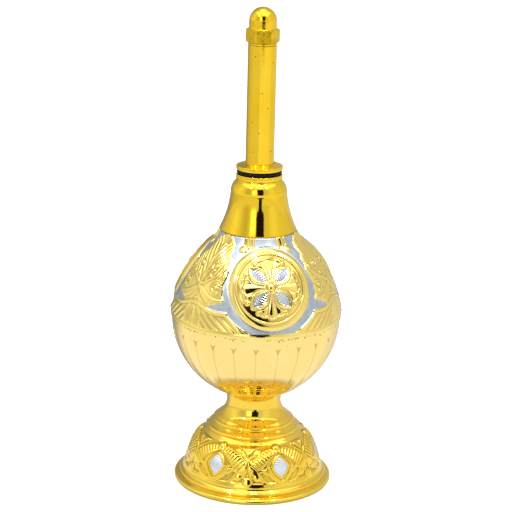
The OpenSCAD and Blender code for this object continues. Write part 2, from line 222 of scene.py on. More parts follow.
def turned(name, outline, columns, material, body, nodes, sharp=50):  # a ring turned from a closed outline
    angles = np.linspace(0, 2 * np.pi, columns, endpoint=False)
    grid = turn(np.asarray(outline)[:, None, :], angles[None, :])
    settle(newObject(name, gridMesh(name, grid)), material, body, nodes, sharp)


def lathed(name, sizes, corners, material, body, nodes):  # each corner names a radius and a height of the piece
    points = [[sizes[key] for key in corner.split()] for corner in corners.split(", ")]
    turned(name, rounded(points, sizes["fillet"]), sizes["columns"], material, body, nodes)


# Geometry Nodes trees: copies round the axis, a screw thread, and scattered specks

def startTree(name, sockets):
    tree = bpy.data.node_groups.new(name, "GeometryNodeTree")
    for label, kind in {"Geometry": "Geometry", **sockets, "Finish": "Material"}.items():
        tree.interface.new_socket(label, in_out="INPUT", socket_type="NodeSocket" + kind)
    tree.interface.new_socket("Geometry", in_out="OUTPUT", socket_type="NodeSocketGeometry")
    add = partial(addNode, tree)
    return tree, add, add("NodeGroupInput").outputs


def endTree(tree, add, geometry, finish):
    real = add("GeometryNodeRealizeInstances", {"Geometry": geometry})
    weld = add("GeometryNodeMergeByDistance", {"Geometry": real, "Distance": 2e-6})  # closes the seams of the copies
    done = add("GeometryNodeSetMaterial", {"Geometry": weld, "Material": finish})
    add("NodeGroupOutput", {"Geometry": done})
    return tree


def ringTree():
    tree, add, given = startTree("ringOfCopies", {"Count": "Int", "First Angle": "Float"})
    points = add("GeometryNodeMeshLine", {"Count": given["Count"], "Offset": (0, 0, 0)})
    step = add("ShaderNodeMath", (2 * math.pi, given["Count"]), operation="DIVIDE")
    index = add("GeometryNodeInputIndex")
    angle = add("ShaderNodeMath", (index, step, given["First Angle"]), operation="MULTIPLY_ADD")
    spin = add("FunctionNodeEulerToRotation", (add("ShaderNodeCombineXYZ", {"Z": angle}),))
    copies = add("GeometryNodeInstanceOnPoints", {"Points": points, "Instance": given["Geometry"], "Rotation": spin})
    return endTree(tree, add, copies, given["Finish"])


def threadTree():
    sizes = ("Turns", "Radius", "Length", "Depth", "Start Height")
    tree, add, given = startTree("screwThread", dict.fromkeys(sizes, "Float"))
    helix = add("GeometryNodeCurveSpiral", {
        "Resolution": 64, "Rotations": given["Turns"], "Start Radius": given["Radius"],
        "End Radius": given["Radius"], "Height": given["Length"]})
    lift = add("ShaderNodeCombineXYZ", {"Z": given["Start Height"]})
    placed = add("GeometryNodeTransform", {"Geometry": helix, "Translation": lift})
    flank = add("GeometryNodeCurvePrimitiveCircle", {"Resolution": 4, "Radius": given["Depth"]})
    ridge = add("GeometryNodeCurveToMesh", {"Curve": placed, "Profile Curve": flank, "Fill Caps": True})
    return endTree(tree, add, ridge, given["Finish"])


def speckTree():
    tree, add, given = startTree("solderSpecks", {"Count": "Int", "Radius": "Float", "Height": "Float",
                                                  "Size": "Float", "Seed": "Int"})
    points = add("GeometryNodeMeshLine", {"Count": given["Count"], "Offset": (0, 0, 0)})
    around = add("FunctionNodeRandomValue", {2: 0.0, 3: 1.0, "Seed": given["Seed"]})
    angle = add("ShaderNodeMath", (around, 2 * math.pi), operation="MULTIPLY")
    # cubed, the heights crowd close to the seam and stray 0.9 mm from it at most
    level = add("FunctionNodeRandomValue", {2: -1.0, 3: 1.0, "Seed": 11})
    cubed = add("ShaderNodeMath", (level, 3.0), operation="POWER")
    height = add("ShaderNodeMath", (cubed, 0.0009, given["Height"]), operation="MULTIPLY_ADD")
    sine = add("ShaderNodeMath", (angle,), operation="SINE")
    cosine = add("ShaderNodeMath", (angle,), operation="COSINE")
    px = add("ShaderNodeMath", (sine, given["Radius"]), operation="MULTIPLY")
    py = add("ShaderNodeMath", (cosine, given["Radius"]), operation="MULTIPLY")
    place = add("ShaderNodeCombineXYZ", (px, py, height))
    moved = add("GeometryNodeSetPosition", {"Geometry": points, "Position": place})
    turnBack = add("ShaderNodeMath", (angle, -1.0), operation="MULTIPLY")
    spin = add("FunctionNodeEulerToRotation", (add("ShaderNodeCombineXYZ", {"Z": turnBack}),))
    sizes = add("FunctionNodeRandomValue", {2: 0.35, 3: 1.0, "Seed": 12})
    scale = add("ShaderNodeMath", (sizes, given["Size"]), operation="MULTIPLY")
    copies = add("GeometryNodeInstanceOnPoints", {
        "Points": moved, "Instance": given["Geometry"], "Rotation": spin, "Scale": scale})
    return endTree(tree, add, copies, given["Finish"])


def grown(name, mesh, tree, values, material, body, slot, nodes=(), sharp=60):  # a tree's result as a plain mesh
    obj = newObject(name, mesh)
    modifier = obj.modifiers.new("grow", "NODES")
    modifier.node_group = tree
    given = {**values, "Finish": material}
    for item in tree.interface.items_tree:
        if item.in_out == "INPUT" and item.name in given:
            modifier[item.identifier] = given[item.name]
    scene.view_layers[0].update()
    graph = bpy.context.evaluated_depsgraph_get()
    made = bpy.data.meshes.new_from_object(obj.evaluated_get(graph), preserve_all_data_layers=True, depsgraph=graph)
    obj.modifiers.clear()
    obj.data = made
    made.name = name
    settle(obj, material, body, nodes, sharp)


rings, threads, specks = ringTree(), threadTree(), speckTree()
print("node trees ready")


def ringed(name, mesh, count, first, *rest, **more):  # copies of a mesh round the axis, the first at so many degrees
    grown(name, mesh, rings, {"Count": count, "First Angle": math.radians(first)}, *rest, **more)


# finishes

def startMaterial(name):
    material = bpy.data.materials.new(name)
    material.use_nodes = True
    material.node_tree.nodes.clear()
    add = partial(addNode, material.node_tree)
    return material, add, add("ShaderNodeTexCoord").outputs["Object"]


def platedBrass(name, spec):
    material, add, where = startMaterial(name)
    # the plating bath leaves slow changes of colour, 14 mm across
    bath = add("ShaderNodeTexNoise", {"Vector": where, "Scale": 1 / 0.014, "Detail": 2.0})
    # buffing swirls, drawn at 0.7 mm because real ones are too fine to show
    swirl = add("ShaderNodeTexNoise", {"Vector": where, "Scale": 1 / 0.0007, "Detail": 3.0})
    roughness = add("ShaderNodeMapRange", (swirl, 0.25, 0.75, spec["roughness"] * 0.7, spec["roughness"] * 1.35))
    height = swirl
    # dull brown pinholes in the plating, one every few mm and up to 0.6 mm wide
    cells = add("ShaderNodeTexVoronoi", {"Vector": where, "Scale": 1 / 0.0034, "Randomness": 1.0})
    hole = add("ShaderNodeMapRange", (cells, 0.06, 0.11, spec["pits"], 0.0))
    tints = [(bath, spec["deep"]), (hole, "#6B4A10")]
    if spec.get("stain"):
        # brown handling stains in the unpolished plating, 2 mm across
        blot = add("ShaderNodeTexNoise", {"Vector": where, "Scale": 1 / 0.002, "Detail": 4.0})
        tints.append((add("ShaderNodeMapRange", (blot, 0.46, 0.66, 0.0, spec["stain"])), "#8A6A1C"))
    if spec.get("shadeInChasing"):
        # painted shade down in the chasing, darker where the relief lies more hollow, along with residue of polish
        # and thin plating there
        low = add("ShaderNodeAttribute", attribute_name="cavity").outputs["Fac"]
        tints.append((add("ShaderNodeMapRange", (low, 0.015, 0.16, 0.0, spec["shadeInChasing"])), "#96650F"))
    color = hexLinear(spec["light"])
    for share, tint in tints:
        color = add("ShaderNodeMix", {"Factor": share, "A": color, "B": hexLinear(tint)}, data_type="RGBA")
    if spec.get("silverLight"):
        # silver shows where the gold was stopped out: the attribute is the distance into the silver, in mm
        edge = add("ShaderNodeAttribute", attribute_name="silver").outputs["Fac"]
        part = add("ShaderNodeMapRange", (edge, -0.08, 0.08))
        matt = add("ShaderNodeTexNoise", {"Vector": where, "Scale": 1 / 0.0005, "Detail": 2.0})
        cloud = add("ShaderNodeTexNoise", {"Vector": where, "Scale": 1 / 0.004, "Detail": 3.0})
        share = add("ShaderNodeMapRange", (cloud, 0.3, 0.7))
        dark, light = hexLinear(spec["silverDark"]), hexLinear(spec["silverLight"])
        ground = add("ShaderNodeMix", {"Factor": share, "A": dark, "B": light}, data_type="RGBA")
        color = add("ShaderNodeMix", {"Factor": part, "A": color, "B": ground}, data_type="RGBA")
        satin = add("ShaderNodeMapRange", (matt, 0.25, 0.75, *spec["satin"]))
        roughness = add("ShaderNodeMix", {"Factor": part, "A": roughness, "B": satin})
        height = add("ShaderNodeMix", {"Factor": part, "A": height, "B": matt})
    bump = add("ShaderNodeBump", {"Height": height, "Strength": 0.5, "Distance": spec["bump"] * mm})
    metal = add("ShaderNodeBsdfPrincipled", {
        "Base Color": color, "Metallic": 1.0, "Roughness": roughness, "Normal": bump})
    add("ShaderNodeOutputMaterial", {"Surface": metal})
    return material


# polished gold plate on turned brass: a clear mirror, deep yellow
goldTurned = platedBrass("goldPlateOnTurnedBrass", {
    "light": "#FBD640", "deep": "#F4C41C", "roughness": 0.09, "pits": 0.9, "bump": 0.014})
# the milled flats of the cap were plated without a polish: a satin yellow with brown stains
goldMilled = platedBrass("goldPlateOnMilledBrass", {
    "light": "#F7CF2E", "deep": "#EDBE1C", "roughness": 0.26, "pits": 0.5, "bump": 0.05, "stain": 0.35})
# polished gold plate on spun sheet: a softer mirror, a little paler
goldSpun = platedBrass("goldPlateOnSpunSheet", {
    "light": "#FAD540", "deep": "#F2C522", "roughness": 0.07, "pits": 0.25, "bump": 0.02})
# thin flash plate on the fluted bowl: pale gold
goldFlash = platedBrass("goldFlashOnPressedSheet", {
    "light": "#FFE596", "deep": "#FBDB82", "roughness": 0.07, "pits": 0.3, "bump": 0.012, "shadeInChasing": 0.5})
# embossed sheet, gold on the relief and satin silver on the stopped-out grounds
embossed = {"light": "#FCE58C", "deep": "#F5D76A", "roughness": 0.09, "pits": 0.2, "bump": 0.02, "shadeInChasing": 0.45,
            "silverLight": "#C6CDD1", "silverDark": "#ACB4BA", "satin": (0.26, 0.44)}
twoTone = platedBrass("goldAndSatinSilverOnEmbossedSheet", embossed)
# the petals of the medallions were burnished afterwards: their silver is a mirror
medalTone = platedBrass("goldAndBurnishedSilverOnMedallion", {
    **embossed, "silverLight": "#D6DBDE", "satin": (0.05, 0.12)})
# the foot is plated like the shell, but deeper and brighter
footTone = platedBrass("goldAndSilverOnEmbossedFoot", {
    **embossed, "light": "#FBDB62", "deep": "#F4C834", "roughness": 0.08, "bump": 0.015, "shadeInChasing": 0.65,
    "silverLight": "#E3E8EC", "silverDark": "#C6CCD2"})


def plainFinish(name, spec):
    material, add, where = startMaterial(name)
    # clouds of colour and roughness, as wide as the grain
    cloud = add("ShaderNodeTexNoise", {"Vector": where, "Scale": 1 / spec["grain"], "Detail": spec["detail"]})
    height = cloud
    if spec.get("rings"):
        # tool marks of the lathe
        marks = add("ShaderNodeTexWave", {"Vector": where, "Scale": math.pi / 10 / spec["rings"], "Distortion": 0.6,
                                          "Detail": 1.0}, bands_direction="Z")
        height = marks.outputs["Fac"]
    bump = add("ShaderNodeBump", {"Height": height, "Strength": spec["strength"], "Distance": spec["bump"] * mm})
    light, deep = hexLinear(spec["light"]), hexLinear(spec["deep"])
    color = add("ShaderNodeMix", {"Factor": cloud, "A": light, "B": deep}, data_type="RGBA")
    roughness = add("ShaderNodeMapRange", (cloud, 0.0, 1.0, *spec["roughness"]))
    body = add("ShaderNodeBsdfPrincipled", {
        "Base Color": color, "Metallic": spec["metallic"], "Roughness": roughness,
        "Specular IOR Level": spec["shine"], "Normal": bump})
    add("ShaderNodeOutputMaterial", {"Surface": body})
    return material


# bare brass from the lathe: duller and browner, with 3 mm clouds of tarnish and fine rings, 0.4 mm apart
bareBrass = plainFinish("bareTurnedBrass", {
    "light": "#D9B765", "deep": "#A98440", "roughness": (0.2, 0.42), "grain": 0.003, "detail": 4.0, "rings": 0.0004,
    "strength": 0.3, "bump": 0.03, "metallic": 1.0, "shine": 0.5})
# moulded nitrile rubber: nearly black, dull, with a fine bloom
nitrile = plainFinish("mouldedNitrileRubber", {
    "light": "#0C0C0D", "deep": "#050506", "roughness": (0.45, 0.65), "grain": 0.0012, "detail": 3.0,
    "strength": 0.4, "bump": 0.02, "metallic": 0.0, "shine": 0.2})
# flux burnt brown where the seam was soldered: dull and crusty
flux = plainFinish("burntSolderFlux", {
    "light": "#6E5414", "deep": "#3A2A0C", "roughness": (0.4, 0.7), "grain": 0.0006, "detail": 3.0,
    "strength": 0.4, "bump": 0.02, "metallic": 0.0, "shine": 0.5})
print("finishes ready")


# camera, at the photograph's angle for a square frame

view = {"target": (-0.0006, 0.0, 0.1033), "distance": 0.745, "elevation": 15.8, "lens": 119.05, "lean": 1.4}
rise = math.radians(view["elevation"])
camera = bpy.data.objects.new("camera", bpy.data.cameras.new("camera"))
camera.data.sensor_width = 36.0
camera.data.lens = view["lens"]
away = Vector((0, -math.cos(rise), math.sin(rise)))
camera.location = Vector(view["target"]) + away * view["distance"]
camera.rotation_mode = "QUATERNION"
camera.rotation_quaternion = (-away).to_track_quat("-Z", "Y") @ Quaternion((0, 0, 1), math.radians(view["lean"]))
scene.collection.objects.link(camera)
scene.camera = camera


# foot: six panels, each with a hatched silver lozenge under an arch of ribbed leaves

foot = {"panels": 6, "firstPanel": 26.0, "columns": 98, "skirtRows": 84, "low": -2.9, "top": 16.8, "ribs": 9.0,
        # section of the skirt: a straight flank from its foot, then an arc; the ledge under it runs on downwards
        "skirtFoot": (30.2, 8.3), "centre": (14.9, 10.1), "radius": 14.2, "arcStart": 17, "arcSweep": 43,
        "ledge": (-0.3903, 0.9207), "waist": (20.6, 37.2), "waistRadius": 8.5, "wall": 0.9,
        # lines of the ornament, across from the middle of a panel and up from the foot of the skirt
        "lozenge": [(-4, 10.9), (0, 10.9), (2.2, 8.6), (3.6, 6.3), (2.1, 3.8), (0, 1.9), (-4, 1.9)],
        "leaf": [(1.0, 13.7), (3.2, 13.3), (5.5, 12.2), (8.5, 9.8), (11.0, 7.3), (12.1, 5.9)],
        "channel": [(1.9, 17.2), (4.6, 16.4), (7.4, 15.1), (10.8, 12.7), (14.4, 9.6), (17.0, 7.4)],
        "slip": [(9.9, 12.9), (12.0, 11.1), (14.0, 9.8)],
        "leg": [(0.2, 9.3), (0.8, 7.4), (1.3, 5.0), (1.9, 2.4)],  # across from the edge of a panel
        "arm": [(6.2, 3.7), (7.9, 5.2), (9.9, 5.0), (11.4, 3.6)],
        "mound": [(9.4, 1.6), (8.3, 0.3), (7.0, -0.6), (5.2, -1.0)]}


def footRelief(x, y, half):
    # x across the panel from the lozenge, y up the skirt from its foot, half = half the panel's width there
    a = np.abs(x)
    far = half - a  # distance to the line between two panels
    loz = inside(a, y, foot["lozenge"])
    rho = np.hypot(x, y - 15.3)
    h = highest(0.3 * roll(y + 1.45, 1.35),  # roll under the ornament
                0.4 * roll(loz + 0.5, 0.6),  # frame of the lozenge
                0.5 * roll(loz + 2.3, 1.15) * smooth(7.6, 5.4, y),  # thick V under it
                roll(rho, 1.75))  # bead at the top of the arch
    h = np.where((rho > 1.7) & (rho < 2.5), np.minimum(h, 0.1), h)  # groove round the bead
    # broad ribbed leaf falling from the bead, blunt at its end
    d, t = stroke(a, y, foot["leaf"])
    comb = np.abs(np.cos(np.pi * t * foot["ribs"])) ** 0.7
    leafBody = smooth(0.0, 0.5, (2.1 + t) * smooth(-0.3, 0.18, t) - d)
    h = np.maximum(h, leafBody * (0.08 + 0.42 * comb * (1 - 0.3 * (d / 3.0) ** 2)))
    # hollow channel over the leaf, and the folded wings between two channels
    line = np.array(foot["channel"])
    channel = bar(a, y, line[:-1], 1.0, 0.9) * (leafBody < 0.5)
    h = np.where(channel > 0, np.minimum(h, 0.1) - 0.3 * channel, h)
    over = y - np.interp(a, line[:, 0], line[:, 1])
    wing = smooth(0.75, 1.5, over) * smooth(16.7, 15.2, y + 0.12 * far)
    d, t = stroke(a, y, foot["slip"])
    h = highest(h, wing * (0.05 + 0.4 * smooth(0.05, 2.2, far) + 0.4 * smooth(9.5, 15.5, y)),
                0.4 * roll(d, 0.6 * np.sin(np.pi * (0.1 + 0.85 * t))),
                # two legs from the V down to a boss
                bar(far, y, foot["leg"], 0.4, 0.8), bead(far * 0.85, y, (0, 0.1), 2.1, 0.65),
                # knob beside it on a curved arm, and a low mound
                bar(a, y, foot["arm"], 0.42, 0.95, 0.25), bead(a, y, (11.0, 2.3), 2.0, 0.6),
                bar(a, y, foot["mound"], 0.3, 0.85, 0.3))
    h = h * smooth(foot["low"], foot["low"] + 0.5, y) * smooth(foot["top"], foot["top"] - 0.7, y)
    hatch = 0.1 * np.cos(2 * np.pi * (0.3 * x + 0.95 * y))
    field = smooth(-0.05, 0.3, loz)
    return h * (1 - field) + (0.2 + hatch) * field, loz


def makeFoot():
    skirtFoot, centre, radius = np.array(foot["skirtFoot"]), np.array(foot["centre"]), foot["radius"]
    start = math.radians(foot["arcStart"])
    arcStart = centre + radius * np.array([math.cos(start), math.sin(start)])
    straight = float(np.linalg.norm(arcStart - skirtFoot))
    y = np.linspace(foot["low"], straight + radius * math.radians(foot["arcSweep"]), foot["skirtRows"])
    theta = start + np.maximum(y - straight, 0) / radius
    skirt = centre + radius * np.stack([np.cos(theta), np.sin(theta)], 1)
    flank = (y >= 0) & (y <= straight)
    skirt[flank] = skirtFoot + (y[flank] / straight)[:, None] * (arcStart - skirtFoot)
    skirt[y < 0] = skirtFoot + y[y < 0][:, None] * np.array(foot["ledge"])
    curl = arcPath((34.1, 1.1), 1.3, -122, 70, 14)
    curl[:, 1] = np.maximum(curl[:, 1], 0)
    below = np.concatenate([curl, arcPath((32.15, 3.7), 0.85, -62, 62, 7), [[31.9, 4.7], [31.5, 5.25]]])
    above = np.concatenate([
        [[21.35, 23.1], [20.8, 23.7], [20.25, 24.1]], arcPath((19.75, 24.9), 0.85, -48, 84, 7),
        [[19.35, 26.0], [18.45, 26.8], [17.9, 27.2]], arcPath((17.35, 27.9), 0.85, -42, 80, 7),
        [[17.1, 29.0], [16.55, 29.6]], arcPath(foot["waist"], foot["waistRadius"], 239, 148, 14)])
    outer = np.concatenate([below, skirt, above])
    inner = np.concatenate([
        [[11.6, 40.35]], arcPath(foot["waist"], foot["waistRadius"] + foot["wall"], 152, 240, 6),
        [[16.3, 28.2], [18.7, 25.2], [21.1, 22.2]], arcPath(centre, radius - foot["wall"], 58, 18, 5),
        [[29.3, 8.4], [31.1, 3.8], [32.8, 0.9]]])
    half = math.pi / foot["panels"]
    angles = np.linspace(-half, half, foot["columns"] + 1)
    x = skirt[:, :1] * angles
    h, silver = footRelief(x, y[:, None] + 0 * x, skirt[:, :1] * half + 0 * x)
    first = len(below)
    normals = sideways(outer)[first:first + len(skirt)]
    # the cavity attribute carries the painted shade in the hollows of the relief
    return reliefMesh("footPanel", np.concatenate([outer, inner]), angles, first, normals, h, {
        "silver": (np.clip(silver, -1, 1), -1.0), "cavity": (hollowness(h), 0.0)})


ringed("embossedFoot", makeFoot(), foot["panels"], foot["firstPanel"], footTone, "vessel", "gold_plate", ["foot"])


# bowl: one pressed tongue, copied round

bowl = {"flutes": 24, "firstFlute": 0.5, "radius": 37.3, "centre": 76.302, "rim": 78.302, "wall": 0.9,
        "groove": 0.4, "grooveWidth": 0.4, "crown": 0.22, "topLatitude": -5.8, "lowLatitude": -71.0, "corner": 2.4,
        "bottom": -85.5, "columns": 28, "rows": 118, "innerRows": 24}


def makeTongue():
    radius, centre, bottom = bowl["radius"], (0, bowl["centre"]), bowl["bottom"]
    half = math.pi / bowl["flutes"]
    angles = np.linspace(-half, half, bowl["columns"] + 1)
    # finer columns next to the groove
    angles = half * np.sign(angles) * (1 - (1 - np.abs(angles) / half) ** 1.5)
    top = math.degrees(math.asin((bowl["rim"] - bowl["centre"]) / radius))
    lat = np.radians(np.linspace(bottom, top, bowl["rows"]))
    outer = arcPath(centre, radius, bottom, top, bowl["rows"])
    inner = arcPath(centre, radius - bowl["wall"], top, bottom, bowl["innerRows"])
    side = outer[:, :1] * (half - np.abs(angles))  # distance to the groove, along the surface
    down = radius * (math.radians(bowl["topLatitude"]) - lat)[:, None] + 0 * angles  # below the tongue's top
    c = bowl["corner"]
    corner = np.hypot(np.minimum(side - c, 0), np.minimum(down - c, 0))
    edge = np.where((side < c) & (down < c), c - corner, np.minimum(side, down))
    alongTop = smooth(0.8, 2.4, side) * smooth(1.6, 0.5, down)  # the round top of a tongue all but fades out
    h = -bowl["groove"] * (1 - 0.85 * alongTop) * np.exp(-(edge / bowl["grooveWidth"]) ** 2)
    inTongue = smooth(0.0, 1.6, edge) * smooth(0.0, 5.0, down)
    h -= bowl["crown"] * (np.abs(angles) / half)[None, :] ** 2 * inTongue
    fade = smooth(0, 6, radius * (lat - math.radians(bowl["lowLatitude"]))[:, None])  # to nothing above the foot
    # painted shade in the grooves, along with the polish that stays there, most of all in the V where two tongues
    # part
    cusp = smooth(1.5, 0.5, side) * smooth(3.4, 2.0, down) * smooth(0.1, 0.7, down)
    dark = (0.07 + 0.16 * cusp) * np.exp(-(edge / 0.34) ** 2) * (1 - alongTop) * fade
    normals = np.stack([np.cos(lat), np.sin(lat)], 1)
    return reliefMesh("tongue", np.concatenate([outer, inner]), angles, 0, normals, h * fade, {"cavity": (dark, 0.0)})


ringed("flutedBowl", makeTongue(), bowl["flutes"], bowl["firstFlute"] + 180 / bowl["flutes"],
       goldFlash, "vessel", "gold_plate", ["bowl"], 70)


# upper shell: three palmettes between three medallions

neck = {"columns": 160, "cone": (56.8, 136.402), "coneRadius": 44.6, "shoulder": (5.911, 133.064),
        "shoulderRadius": 6.4, "wall": 0.8}
shell = {"sectors": 3, "firstPalmette": -48.5, "columns": 200, "rows": 112, "flareRows": 12, "wall": 0.7,
         "centre": (-12.204, 73.024), "radius": 50.0, "start": 7.2135, "end": 51.588}
medallion = {"turn": 11.5, "height": 98.202, "size": 18.4, "wide": 17.5, "tall": 18.3, "disc": 15.9, "dome": 58.0,
             "lift": -0.3, "boss": 0.1, "petal": (1.6, 13.0, 3.9), "columns": 264, "flankRows": 14, "rows": 72}
lean = math.asin((medallion["height"] - shell["centre"][1]) / shell["radius"])
seatRadius = shell["centre"][0] + shell["radius"] * math.cos(lean)


def onMedallion(p, azimuth):  # position in the plane of a medallion, scaled so that its rim is at its size
    x = p[..., 0] * math.cos(azimuth) + p[..., 1] * math.sin(azimuth)
    out = p[..., 0] * math.sin(azimuth) - p[..., 1] * math.cos(azimuth) - seatRadius
    up = (p[..., 2] - medallion["height"]) * math.cos(lean) - out * math.sin(lean)
    return x * medallion["size"] / medallion["wide"], up * medallion["size"] / medallion["tall"]


# across from the axis of a palmette and up from its foot, along the shell
palmette = {"outline": [(0, 43), (3.2, 42), (5.6, 39), (7.0, 36), (7.0, 33.6), (9.2, 31.4), (9.6, 28.4),
                        (11.4, 26.2), (11.8, 22.5), (11.6, 19.4), (12.6, 17.2), (13.0, 15.0), (15.0, 12.6),
                        (12.0, 11.4), (9.2, 10.0), (7.2, 8.5), (11.5, 8.3), (17.2, 7.9), (19.4, 5.9),
                        (22.2, 3.9), (26.2, 1.6), (31.0, -0.6), (31.0, -4.0), (0, -4.0)],
            "upperStem": [(0, 17.7), (3.6, 20.2), (7.2, 22.6), (9.3, 25.0), (8.6, 27.2)],
            "sideLeaf": [(0.4, 17.2), (3.6, 14.4), (7.4, 12.2), (11.0, 11.9), (14.4, 12.7)],
            "lowerStem": [(0.4, 16.6), (3.0, 13.6), (6.4, 11.2), (9.6, 10.6)],
            "swag": [(0, 10.2), (3.6, 9.4), (8.6, 7.6), (13.0, 7.2), (17.0, 7.6)],
            "swagEnd": [(17.0, 7.3), (19.4, 5.4), (22.4, 3.3), (26.4, 1.0)],
            "volutes": [(8.7, 18.3, 2.7), (4.3, 27.4, 1.7)],
            "beads": [(0, 17.7, 1.35), (3.7, 22.4, 0.75), (10.2, 15.6, 0.7), (0, 11.6, 0.9)],
            "barbs": 5.2, "folds": 3.7}


def palmetteRelief(x, y, toRing, crown):
    # x along the parallel and y up the meridian, in mm, and crown the degrees from the middle of a medallion
    a = np.abs(x)
    gold = inside(a, y, palmette["outline"])
    gold = np.where((a < 6) & (gold > 0), np.maximum(gold, 6.2 - a), gold)
    # plume: a midrib with barbs that curve up and out, scalloped along its edge
    barb = wave(y - 2.0 * a - 0.09 * a ** 2, palmette["barbs"])
    plume = smooth(18.5, 21.5, y - 0.25 * a) * smooth(0.1, 1.6, gold) * smooth(0.3, 1.4, a)
    h = 0.4 * smooth(-0.1, 0.45, gold) + plume * 0.36 * (barb - 0.35)
    # under its midrib, stems and leaves cross in the middle bead
    h = highest(h, (0.62 - 0.3 * smooth(20, 42, y)) * roll(a, 0.75) * (y > 18),
                bar(a, y, palmette["upperStem"], 0.72, 1.05, 0.5), leaf(a, y, palmette["sideLeaf"], 2.0, 0.75),
                bar(a, y, palmette["lowerStem"], 0.8, 0.5))
    # volutes with bead eyes at both sides
    for cx, cy, size in palmette["volutes"]:
        rho, ang = np.hypot(a - cx, y - cy), np.arctan2(y - cy, a - cx)
        curl = wave(rho / 1.25 - ang / (2 * np.pi), 1)
        h = np.where(rho < size, np.maximum(0.2 + 0.4 * curl, 0.95 * roll(rho, 0.85)), h)
    h = highest(h, *(bead(a, y, place, size, 0.95, 0.8) for *place, size in palmette["beads"]))
    # swag, and the ribbed drapery under it
    h = highest(h, bar(a, y, palmette["swag"], 0.75, 0.85), bar(a, y, palmette["swagEnd"], 0.55, 0.6))
    drape = smooth(0.3, 1.2, gold) * smooth(8.5, 5.0, gold) * smooth(8.4, 6.0, y + 0.12 * a) * smooth(4.0, 6.5, a)
    h = h + drape * 0.4 * wave(a + y / 0.83, palmette["folds"]) ** 4
    # hanging leaf under the swag
    fan = np.arctan2(a, 12.5 - y)
    hang = smooth(6.2, 4.6, a) * smooth(9.4, 7.4, y) * smooth(-0.5, 1.5, y)
    h = h + hang * 0.25 * wave(fan, 2 * np.pi / 11) ** 1.5
    h = np.where(gold > -0.3, h, np.minimum(h, 0.05))
    # gold crown blocks under the neck, at both sides of a medallion
    block = np.minimum(np.minimum(crown - 15.5, 30.5 - crown) * 0.36, y - 37.6)
    bars = 0.25 + 0.22 * np.cos(2 * np.pi * (crown - 23) / 7.5)
    h = np.where(block > 0, np.maximum(h, bars * smooth(0, 0.5, block)), h)
    bulb = 1.9 - np.hypot((crown - 28.5) * 0.36, y - 37.4)
    h = np.maximum(h, 0.6 * roll(bulb - 1.9, 1.9))
    return h * smooth(0.0, 0.8, toRing), -highest(gold, block, bulb)


def makeShellSector():
    centre = np.array(shell["centre"])
    shoulder = np.concatenate([arcPath(centre, shell["radius"], shell["start"], shell["end"], shell["rows"]),
                               arcPath(neck["cone"], neck["coneRadius"] + 0.4, 212.1, 207.4, shell["flareRows"])])
    y = np.concatenate([[0], np.cumsum(np.linalg.norm(shoulder[1:] - shoulder[:-1], axis=1))])
    below = np.array([[37.45, 76.93], [37.65, 76.95], [37.78, 77.1], [37.84, 77.5], [37.82, 78.1], [37.72, 78.6],
                      [37.6, 78.95], [37.48, 79.15]])
    above = np.array([[16.5, 115.9], [16.05, 116.2], [15.4, 117.4], [14.85, 118.8]])
    outer = np.concatenate([below, shoulder, above])
    inner = np.concatenate([
        [[14.2, 118.5], [14.8, 117.2], [15.6, 115.9], [16.5, 114.6], [17.9, 112.2]],
        arcPath(centre, shell["radius"] - shell["wall"], shell["end"] - 1, shell["start"], 18),
        [[37.0, 78.6], [37.42, 78.2]]])
    half = math.pi / shell["sectors"]
    angles = np.linspace(-half, half, shell["columns"] + 1)
    x = shoulder[:, :1] * angles
    p = turn(np.repeat(shoulder[:, None, :], len(angles), 1), np.abs(angles)[None, :])
    toRing = np.hypot(*onMedallion(p, half)) - medallion["size"]
    crown = np.degrees(half - np.abs(angles))[None, :] + 0 * x
    h, silver = palmetteRelief(x, y[:, None] + 0 * x, toRing, crown)
    h = np.where(toRing < 0.3, -0.12, h)
    loop, first = np.concatenate([outer, inner]), len(below)
    normals = sideways(outer)[first:first + len(shoulder)]
    # what is above the shoulder, and the inside, takes its tone from the shoulder's last row
    silver = np.clip(silver, -1, 1)
    silver = np.concatenate([silver, np.repeat(silver[-1:], len(loop) - first - len(shoulder), 0)])
    # the cavity attribute carries the painted shade in the hollows of the relief
    return reliefMesh("shellSector", loop, angles, first, normals, h, {
        "silver": (silver, -1.0), "cavity": (hollowness(h), 0.0)})


ringed("upperShell", makeShellSector(), shell["sectors"], shell["firstPalmette"],
       twoTone, "vessel", "two_tone_plate", ["upper_shell"])


